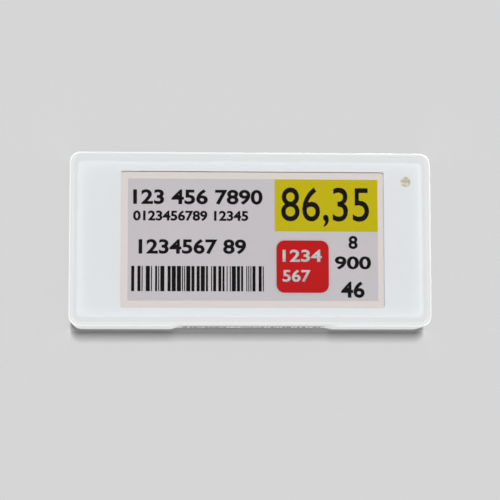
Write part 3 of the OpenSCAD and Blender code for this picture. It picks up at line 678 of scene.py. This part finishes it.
class LABEL_OT_finish_front(Operator):
    """Makes the clear lens and finishes the mask, the tape, the strip's paper and the light pipe"""

    bl_idname = "label.finish_front"
    bl_label = "Finish the front"

    def execute(self, context):
        look = context.scene.label_front
        low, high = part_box("front_lens")
        edge, shape, rings = look.lens_edge, bmesh.new(), []
        for i in range(LENS_EDGE_STEPS + 1):
            angle = math.radians(90 * i / LENS_EDGE_STEPS)
            inset, depth = edge * (1 - math.sin(angle)), edge * (1 - math.cos(angle))
            rings.append(add_loop(shape, lens_points(LENS_GROW - inset, LENS_CORNER - inset), low.y + depth))
        rings.append(add_loop(shape, [(v.co.x, v.co.z) for v in rings[-1]], high.y - look.lens_clearance))
        add_ends(shape, rings[0], rings[-1])
        for near, far in zip(rings, rings[1:]):
            add_sides(shape, near, far)
        lens_look = clear("Clear lens", (0.998, 1.0, 1.0))
        lens = finish_piece("clear_lens", mesh_from(shape, "clear_lens"), lens_look, "case")
        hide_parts("front_lens")
        dress(["front_lens"], lens.data.materials[0])
        mask = plastic("White printed mask", look.mask, 0.5, 0.00012, 0.0000008, 0.03)
        dress(["window_mask"], mask)
        # Painted light: a white ring covers the shade along the lens's edge
        self.add_lens_edge_painted_light(mask)
        dress(["lens_tape"], plastic("Pale foam tape", srgb(226, 222, 219), 0.75, 0.00018, 0.00001, 0.06))
        dress(["id_strip"], plastic("Strip paper", look.strip, 0.55, 0.00009, 0.000002, 0.08))
        self.finish_pipe(look)
        return {"FINISHED"}

    @staticmethod
    def add_lens_edge_painted_light(material):
        """A thin white ring inside the lens, without shadow, is painted light: it covers the shade that the pocket's
        wall throws along the mask's edge, the dark hairline between the mask and the pocket, and shows as a pale line
        there.
        """
        shape, face = bmesh.new(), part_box("front_lens")[0].y
        outer, inner = lens_points(LENS_GROW * 0.9, 0.00097), lens_points(-0.0003, 0.0006)
        front, back = face + 0.00005, face + 0.00006
        loops = [add_loop(shape, *loop) for loop in ((outer, front), (inner, front), (inner, back), (outer, back))]
        for near, far in zip(loops, loops[1:] + loops[:1]):
            add_sides(shape, near, far)
        edge = finish_piece("lens_edge_painted_light", mesh_from(shape, "lens_edge_painted_light"), material, "case")
        # The ring throws no shadow and bounced light passes it, so it paints light over the pocket's shade without
        # adding shade of its own
        edge.visible_shadow = edge.visible_diffuse = False

    @staticmethod
    def finish_pipe(look):
        """The milky end of the light pipe is mottled, as thick frosted plastic is."""
        material, tree, shader, place = start_material("Milky light pipe")
        clouds = map_range(tree, noise(tree, place, 1500.0, 3.0, 0.65), 0.42, 0.58, 0.0, 1.0)
        cool = mix_colour(tree, clouds, tuple(look.pipe), srgb(198, 188, 168))
        tree.links.new(cool, shader.inputs["Base Color"])
        shader.inputs["Roughness"].default_value = 0.28
        add_bump(tree, shader, clouds, 0.00002)
        dress(["light_pipe"], material)


class LABEL_OT_add_strip_code(Operator):
    """Prints a row of plain bars on the identity strip under the bottom edge"""

    bl_idname = "label.add_strip_code"
    bl_label = "Print the strip"

    def execute(self, context):
        look = context.scene.label_front
        low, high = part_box("id_strip")
        margin, rise = 0.0005, 0.00001
        shape = bmesh.new()
        for left, right in bar_runs(5, low.x + margin, high.x - margin, look.bar_step):
            points = [(left, low.z - rise), (right, low.z - rise), (right, low.z), (left, low.z)]
            add_slab(shape, points, low.y + margin, high.y - margin)
        bars = finish_piece(
            "strip_bars", mesh_from(shape, "strip_bars"), plastic("Strip print", look.code, 0.5, 0.0001), "case"
        )
        return {"FINISHED"}


class LABEL_OT_finish_display(Operator):
    """Finishes the display's film, glass, chip, tail and foam"""

    bl_idname = "label.finish_display"
    bl_label = "Finish the display"

    def execute(self, context):
        look = context.scene.label_display
        board = context.scene.label_board
        dress(["ink_film"], ink("Idle ink film", look.idle, look.capsule, 0.1))
        dress(["display_glass"], clear("Display glass", (0.9, 0.94, 0.93), 0.02, 1.52, 0.1))
        dress(["driver_chip"], plastic("Driver chip silicon", srgb(52, 54, 62), 0.2, 0.00005, 0.0000005, 0.2))
        dress(["display_flex"], self.flex(board))
        dress(["flex_stiffener"], plastic("Blue stiffener", srgb(40, 74, 140), 0.5, 0.0002, 0.000002, 0.15))
        dress(["display_foam", "door_pads"], plastic("Dark foam", srgb(44, 44, 46), 0.9, 0.0003, 0.00012, 0.5))
        low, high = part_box("barrier_sheet")
        shape = bmesh.new()
        add_slab(shape, box_points(low.x, high.x, low.z, high.z), low.y, high.y - 6 * look.ink_step)
        sheet = plastic("Clear barrier film", (0.2, 0.2, 0.2), 0.22, 0.0004, 0.0000006, 0.02, Alpha=0.02)
        piece = finish_piece("barrier_film", mesh_from(shape, "barrier_film"), sheet, "case")
        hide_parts("barrier_sheet")
        dress(["barrier_sheet"], sheet)
        return {"FINISHED"}

    @staticmethod
    def flex(look):
        """Amber film with fine copper lines that run along the tail."""
        material, tree, shader, place = start_material("Amber flexible tail")
        bands = tree.nodes.new("ShaderNodeTexWave")
        bands.bands_direction = "Z"
        bands.inputs["Scale"].default_value = 640.0
        tree.links.new(place, bands.inputs["Vector"])
        lines = map_range(tree, bands.outputs["Fac"], 0.45, 0.55, 0.0, 1.0)
        cloud = noise(tree, place, 700.0)
        copper = mix_colour(tree, cloud, srgb(214, 146, 60), srgb(186, 116, 42))
        tree.links.new(mix_colour(tree, lines, tuple(look.flex), copper), shader.inputs["Base Color"])
        shader.inputs["Roughness"].default_value = 0.35
        add_bump(tree, shader, lines, 0.00001)
        return material


class LABEL_OT_add_picture(Operator):
    """Draws a plain picture on the display: figures, bars, a yellow field and a red badge"""

    bl_idname = "label.add_picture"
    bl_label = "Draw the picture"

    def execute(self, context):
        look = context.scene.label_display
        film_low, film_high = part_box("ink_film")
        border = 0.002
        left, top = film_low.x + border, film_high.z - border
        right, foot = film_high.x - border, film_low.z + border
        front, step = film_low.y, look.ink_step

        def box(x1, x2, z1, z2):
            return left + x1 * MM, left + x2 * MM, top - z2 * MM, top - z1 * MM

        def plate(name, points, layer, material):
            shape = bmesh.new()
            add_slab(shape, points, front - layer * step, front - (layer - 0.6) * step)
            finish_piece(name, mesh_from(shape, name), material, "case")

        def write(text, bounds, layer=3, weight=0.0):
            return figures(text, *bounds, front - layer * step, 0.5 * step, weight)

        plate("picture_paper", box_points(left, right, foot, top), 1, ink("Grey paper", look.paper, look.capsule))
        yellow = box(28.45, (right - left) / MM, 0, 10.2)
        plate("picture_yellow", box_points(*yellow), 2, ink("Yellow ink", look.yellow, look.capsule, 0.1))
        badge = box(28.75, 38.95, 11.95, 22.15)
        pale = ink("Pale ink", look.pale, look.capsule, 0.08)
        self.badge(plate, badge, 2, 0.0004, "picture_halo", ink("Halo ink", srgb(208, 208, 213), look.capsule))
        self.badge(plate, badge, 3, 0.0, "picture_badge", ink("Red ink", look.red, look.capsule, 0.1))
        dark = [
            write(look.headline, box(1.0, 26.1, 2.05, 5.05), weight=0.03),
            write(look.subline, box(1.0, 23.3, 6.2, 8.25), weight=0.035),
            write(look.unit_line, box(2.1, 22.9, 11.75, 14.7), weight=0.03),
            write(look.amount, box(29.7, 46.9, 1.55, 9.3), weight=0.006),
            write(look.side_top, box(42.8, 44.6, 11.0, 13.6), weight=0.03),
            write(look.side_mid, box(40.1, 47.2, 15.0, 17.6), weight=0.03),
            write(look.side_low, box(41.3, 45.9, 19.9, 23.1), weight=0.03),
            self.bars(look, box(0.7, 26.3, 17.0, 21.9), front - 3 * step, step),
        ]
        mesh, black = join_meshes("picture_black", dark), ink("Black ink", look.black, look.capsule, 0.2)
        finish_piece("picture_black", mesh, black, "case")
        light = [
            write(look.badge_top, box(29.95, 37.6, 13.75, 16.15), 4, 0.025),
            write(look.badge_low, box(29.95, 35.4, 17.65, 20.05), 4, 0.025),
        ]
        mesh = join_meshes("picture_pale", light)
        finish_piece("picture_pale", mesh, pale, "case")
        return {"FINISHED"}

    @staticmethod
    def badge(plate, bounds, layer, grow, name, material):
        x1, x2, z1, z2 = bounds
        points = corner_points(x2 - x1 + 2 * grow, z2 - z1 + 2 * grow, 0.0016 + grow)
        points = [((x1 + x2) / 2 + x, (z1 + z2) / 2 + z) for x, z in points]
        plate(name, points, layer, material)

    @staticmethod
    def bars(look, bounds, front, step):
        x1, x2, z1, z2 = bounds
        shape = bmesh.new()
        for a, b in bar_runs(look.bar_seed, x1, x2, 0.0002):
            add_slab(shape, box_points(a, b, z1, z2), front, front + 0.5 * step)
        return mesh_from(shape, "bars")


class LABEL_OT_finish_board(Operator):
    """Finishes the circuit board, its chips, its connector and the small parts"""

    bl_idname = "label.finish_board"
    bl_label = "Finish the board"

    def execute(self, context):
        look = context.scene.label_board
        material, tree, shader, place = start_material("Green circuit board")
        tracks = use_group(
            tree, "Board tracks", place, Mask_colour=tuple(look.board), Track_colour=tuple(look.track)
        )
        tree.links.new(tracks.outputs["Colour"], shader.inputs["Base Color"])
        shader.inputs["Roughness"].default_value = 0.3
        add_bump(tree, shader, tracks.outputs["Height"], 0.00002)
        dress(["circuit_board"], material)
        chip = plastic("Moulded chip", look.chip, 0.5, 0.00008, 0.000004, 0.25)
        dress(["radio_chip", "flash_chip", "boost_transistor", "boost_diodes"], chip)
        dress(["main_crystal", "watch_crystal"], metal("Crystal lid", look.steel, 0.28))
        dress(["chip_antenna"], plastic("Antenna ceramic", srgb(226, 222, 208), 0.55, 0.0001, 0.000003, 0.1))
        dress(["boost_inductor"], plastic("Ferrite", srgb(66, 66, 68), 0.6, 0.00012, 0.00001, 0.35))
        body = plastic("Capacitor ceramic", srgb(176, 152, 118), 0.4, 0.00008, 0.000003, 0.15)
        dress(["bulk_capacitors", "chip_capacitors"], body)
        dress(["chip_resistors"], plastic("Resistor glaze", srgb(34, 34, 38), 0.25, 0.00008, 0.000002, 0.2))
        dress(["flex_connector"], plastic("Ivory connector", srgb(222, 214, 192), 0.5, 0.00015, 0.000003, 0.08))
        dress(["flex_latch"], plastic("Brown connector latch", srgb(74, 50, 38), 0.45, 0.00012, 0.000003, 0.2))
        dress(["connector_pins"], metal("Gold pins", look.gold, 0.22, 0.3))
        dress(["indicator_led"], plastic("Lamp resin", srgb(228, 216, 150), 0.25, 0.0001, 0.000002, 0.1))
        return {"FINISHED"}


class LABEL_OT_finish_power(Operator):
    """Finishes the coin cells and their contacts, and adds a low plus sign to each cell"""

    bl_idname = "label.finish_power"
    bl_label = "Finish the cells"

    def execute(self, context):
        look = context.scene.label_board
        can = metal("Cell can steel", look.steel, 0.3, 0.6, 0.0000015)
        cap = metal("Cell cap steel", look.steel, 0.22, 0.4)
        dress(["left_cell_can", "right_cell_can"], can)
        dress(["left_cell_cap", "right_cell_cap"], cap)
        seal = plastic("Cell seal", srgb(58, 58, 60), 0.6, 0.0001, 0.00001, 0.3)
        dress(["left_cell_seal", "right_cell_seal"], seal)
        contacts = [side + kind for side in ("left_", "right_") for kind in ("negative_contact", "positive_contact")]
        dress(contacts, metal("Contact strip", look.steel, 0.2, 0.35))
        mark = metal("Pressed mark", tuple(0.45 * c for c in look.steel), 0.5, 0.4)
        for side in ("left", "right"):
            low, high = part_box(side + "_cell_can")
            x, z, y = (low.x + high.x) / 2, (low.z + high.z) / 2, high.y
            shape = bmesh.new()
            arm, half, rise = 0.0021, 0.00032, 0.00001
            add_slab(shape, box_points(x - arm, x + arm, z - half, z + half), y - rise, y + rise)
            add_slab(shape, box_points(x - half, x + half, z - arm, z + arm), y - rise, y + 1.5 * rise)
            piece = finish_piece(side + "_cell_plus", mesh_from(shape, side + "_cell_plus"), mark, side + "_cell")
        return {"FINISHED"}


class LABEL_OT_build_stage(Operator):
    """Sets up the backdrop, the floor, the lamps, the even light and the camera"""

    bl_idname = "label.build_stage"
    bl_label = "Build the stage"

    def execute(self, context):
        look = context.scene.label_stage
        low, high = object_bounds()
        middle = (low[2] + high[2]) / 2
        wide, deep, tall = high[0] - low[0], high[1] - low[1], high[2] - low[2]
        upright = Matrix.Translation((0, high[1] + STAGE_GAP, middle)) @ Matrix.Rotation(math.radians(90), 4, "X")
        lying = Matrix.Translation((0, 0, -STAGE_GAP))
        wall = self.sheet("backdrop", look.wall, upright, wide / 2, tall / 2, 0.006, 0.02)
        self.sheet("studio_floor", look.floor, lying, wide / 2, deep / 2, 0.05, 0.12)
        self.key_lamp(look, Vector((0, 0, middle)))
        ahead, across = -math.cos(EDGE_LAMP_ANGLE), math.sin(EDGE_LAMP_ANGLE)
        beside = [
            self.sun("low_lamp", look.low, (0, ahead, -across), 8, False),
            self.sun("top_lamp", look.edge, (0, ahead, across), 8, False),
            self.sun("left_lamp", look.edge, (-across, ahead, 0), 8, False),
            self.sun("right_lamp", look.edge, (across, ahead, 0), 8, False),
        ]
        self.spare_wall(beside, wall)
        self.sun("rear_lamp", look.rear, (0.3, 0.9, 0.3), 30, True)
        self.flags(look.flag, wide / 2, deep / 2, low[2], high[2])
        self.world(look)
        camera = bpy.data.cameras.new("camera")
        camera.lens = look.camera_lens
        camera.sensor_width = 36
        camera.clip_start = 0.01
        holder = new_object("camera", camera)
        yaw, pitch, roll = look.camera_yaw, look.camera_pitch, look.camera_roll
        side = Vector((math.cos(yaw), -math.sin(yaw), 0))
        level = Vector((math.sin(yaw), math.cos(yaw), 0))
        ahead = level * math.cos(pitch) + Vector((0, 0, math.sin(pitch)))
        up = -level * math.sin(pitch) + Vector((0, 0, math.cos(pitch)))
        across = side * math.cos(roll) + up * math.sin(roll)
        upright = -side * math.sin(roll) + up * math.cos(roll)
        turn = Matrix((across, upright, -ahead)).transposed().to_4x4()
        holder.matrix_world = Matrix.Translation(look.camera_place) @ turn
        context.scene.camera = holder
        context.scene.view_settings.view_transform = "Standard"
        return {"FINISHED"}

    @staticmethod
    def sheet(name, reflectance, place, half_wide, half_tall, full, gone):
        """A sheet seen only from its face, that fades from full to gone and lets all other light through."""
        material, tree, shader, spot = start_material(name)
        speck = noise(tree, spot, 900.0, 2.0)
        share = math_node(tree, "MULTIPLY", speck, 0.02)
        grey = mix_colour(tree, share, (reflectance,) * 3, (reflectance * 0.9,) * 3)
        tree.nodes.remove(shader)
        matt = tree.nodes.new("ShaderNodeBsdfDiffuse")
        tree.links.new(grey, matt.inputs["Color"])
        through = tree.nodes.new("ShaderNodeBsdfTransparent")
        path = tree.nodes.new("ShaderNodeLightPath")
        facing = math_node(tree, "SUBTRACT", 1.0, tree.nodes.new("ShaderNodeNewGeometry").outputs["Backfacing"])
        seen = math_node(tree, "MULTIPLY", path.outputs["Is Camera Ray"], facing)
        split = tree.nodes.new("ShaderNodeSeparateXYZ")
        tree.links.new(spot, split.inputs[0])
        squares = []
        for axis, half in (("X", half_wide), ("Y", half_tall)):
            past = math_node(tree, "SUBTRACT", math_node(tree, "ABSOLUTE", split.outputs[axis]), half)
            squares.append(math_node(tree, "POWER", math_node(tree, "MAXIMUM", past, 0.0), 2.0))
        away = math_node(tree, "SQRT", math_node(tree, "ADD", *squares))
        seen = math_node(tree, "MULTIPLY", seen, map_range(tree, away, full, gone, 1.0, 0.0))
        blend_shaders(tree, seen, through, matt, tree.nodes["Material Output"])
        mesh = bpy.data.meshes.new(name)
        x, y = half_wide + gone, half_tall + gone
        mesh.from_pydata([(-x, -y, 0), (x, -y, 0), (x, y, 0), (-x, y, 0)], [], [(0, 1, 2, 3)])
        mesh.materials.append(material)
        piece = new_object(name, mesh)
        piece.matrix_world = place
        piece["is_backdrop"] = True
        return piece

    @staticmethod
    def flags(share, half_wide, half_deep, low, high):
        """Unseen black flags round the label, so that its bright edges throw no glow on the backdrop."""
        material, tree, shader, _ = start_material("black_flags")
        tree.nodes.remove(shader)
        black = tree.nodes.new("ShaderNodeBsdfDiffuse")
        black.inputs["Color"].default_value = (0, 0, 0, 1)
        through = tree.nodes.new("ShaderNodeBsdfTransparent")
        blend_shaders(tree, share, through, black, tree.nodes["Material Output"])
        corners, x, y = [], half_wide, half_deep
        for z in (low - FLAG_GAP, high + FLAG_GAP):
            corners += [(-x, -y, z), (x, -y, z), (x, y, z), (-x, y, z)]
        for side in (-x - FLAG_GAP, x + FLAG_GAP):
            corners += [(side, -y, low), (side, y, low), (side, y, high), (side, -y, high)]
        mesh = bpy.data.meshes.new("black_flags")
        mesh.from_pydata(corners, [], [tuple(range(i, i + 4)) for i in range(0, len(corners), 4)])
        mesh.materials.append(material)
        piece = new_object("black_flags", mesh)
        piece.visible_camera = piece.visible_glossy = piece.visible_transmission = piece.visible_shadow = False
        piece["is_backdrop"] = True

    @staticmethod
    def spare_wall(lamps, wall):
        """Keeps the edge lamps off the backdrop, which would otherwise show their long faint shadows."""
        spared = bpy.data.collections.new("Spared by the edge lamps")
        spared.objects.link(wall)
        spared.collection_objects[0].light_linking.link_state = "EXCLUDE"
        for lamp in lamps:
            lamp.data.color = (1.0, 0.985, 0.965)
            lamp.light_linking.receiver_collection = spared

    @staticmethod
    def key_lamp(look, target):
        """A tall narrow softbox, so that shadows are soft below the label and crisp beside it."""
        lamp = bpy.data.lights.new("key_lamp", "AREA")
        lamp.shape = "RECTANGLE"
        lamp.size = KEY_LAMP_WIDTH
        lamp.size_y = 2 * KEY_LAMP_AWAY * math.tan(look.key_spread / 2)
        lamp.energy = look.key * math.pi * KEY_LAMP_AWAY ** 2
        toward = Vector((0, -math.cos(look.key_height), math.sin(look.key_height)))
        holder = new_object("key_lamp", lamp)
        holder.location = target + toward * KEY_LAMP_AWAY
        holder.rotation_euler = toward.to_track_quat("Z", "Y").to_euler()
        holder.visible_glossy = holder.visible_transmission = False

    @staticmethod
    def sun(name, strength, toward, angle, glossy):
        """A wide soft lamp that shines from the given direction."""
        lamp = bpy.data.lights.new(name, "SUN")
        lamp.energy = strength
        lamp.angle = math.radians(angle)
        holder = new_object(name, lamp)
        holder.rotation_euler = Vector(toward).to_track_quat("Z", "Y").to_euler()
        holder.visible_glossy = holder.visible_transmission = glossy
        return holder

    @staticmethod
    def world(look):
        """Even light, and a background that the camera and mirror rays see, black toward the front for the latter."""
        world = bpy.data.worlds.new("Even studio light")
        bpy.context.scene.world = world
        world.use_nodes = True
        tree = world.node_tree
        tree.nodes.clear()
        path = tree.nodes.new("ShaderNodeLightPath")
        shown = math_node(tree, "MAXIMUM", path.outputs["Is Camera Ray"], path.outputs["Is Glossy Ray"])
        shown = math_node(tree, "MAXIMUM", shown, path.outputs["Is Transmission Ray"])
        light = tree.nodes.new("ShaderNodeBackground")
        light.inputs["Color"].default_value = (1, 1, 1, 1)
        light.inputs["Strength"].default_value = look.ambient
        behind = tree.nodes.new("ShaderNodeBackground")
        behind.inputs["Color"].default_value = (*look.background, 1)
        split = tree.nodes.new("ShaderNodeSeparateXYZ")
        tree.links.new(tree.nodes.new("ShaderNodeTexCoord").outputs["Generated"], split.inputs[0])
        beside = map_range(tree, split.outputs["Y"], -0.8, -0.4, 0.0, look.rim)
        camera = path.outputs["Is Camera Ray"]
        unseen = math_node(tree, "MULTIPLY", beside, math_node(tree, "SUBTRACT", 1.0, camera))
        tree.links.new(math_node(tree, "ADD", unseen, camera), behind.inputs["Strength"])
        blend_shaders(tree, shown, light, behind, tree.nodes.new("ShaderNodeOutputWorld"))


class LABEL_PT_panel(Panel):
    """Lists the steps that dress the shelf label"""

    bl_idname = "LABEL_PT_panel"
    bl_label = "Shelf Label"
    bl_space_type = "VIEW_3D"
    bl_region_type = "UI"
    bl_category = "Shelf Label"

    def draw(self, context):
        for step in STEPS:
            self.layout.operator(step.bl_idname)
        for name in SETTINGS:
            column = self.layout.column(align=True)
            group = getattr(context.scene, name)
            for prop in group.__annotations__:
                column.prop(group, prop)


STEPS = (
    LABEL_OT_finish_case,
    LABEL_OT_finish_front,
    LABEL_OT_add_strip_code,
    LABEL_OT_finish_display,
    LABEL_OT_add_picture,
    LABEL_OT_finish_board,
    LABEL_OT_finish_power,
    LABEL_OT_build_stage,
)
SETTINGS = {
    "label_case": LabelCaseSettings,
    "label_front": LabelFrontSettings,
    "label_display": LabelDisplaySettings,
    "label_board": LabelBoardSettings,
    "label_stage": LabelStageSettings,
}


def register():
    for settings in SETTINGS.values():
        bpy.utils.register_class(settings)
    for name, settings in SETTINGS.items():
        setattr(bpy.types.Scene, name, PointerProperty(type=settings))
    for step in STEPS:
        bpy.utils.register_class(step)
    bpy.utils.register_class(LABEL_PT_panel)


def unregister():
    bpy.utils.unregister_class(LABEL_PT_panel)
    for step in reversed(STEPS):
        bpy.utils.unregister_class(step)
    for name in SETTINGS:
        delattr(bpy.types.Scene, name)
    for settings in reversed(SETTINGS.values()):
        bpy.utils.unregister_class(settings)


def main():
    register()
    for step in STEPS:
        area, name = step.bl_idname.split(".")
        getattr(getattr(bpy.ops, area), name)()


if __name__ == "__main__":
    main()
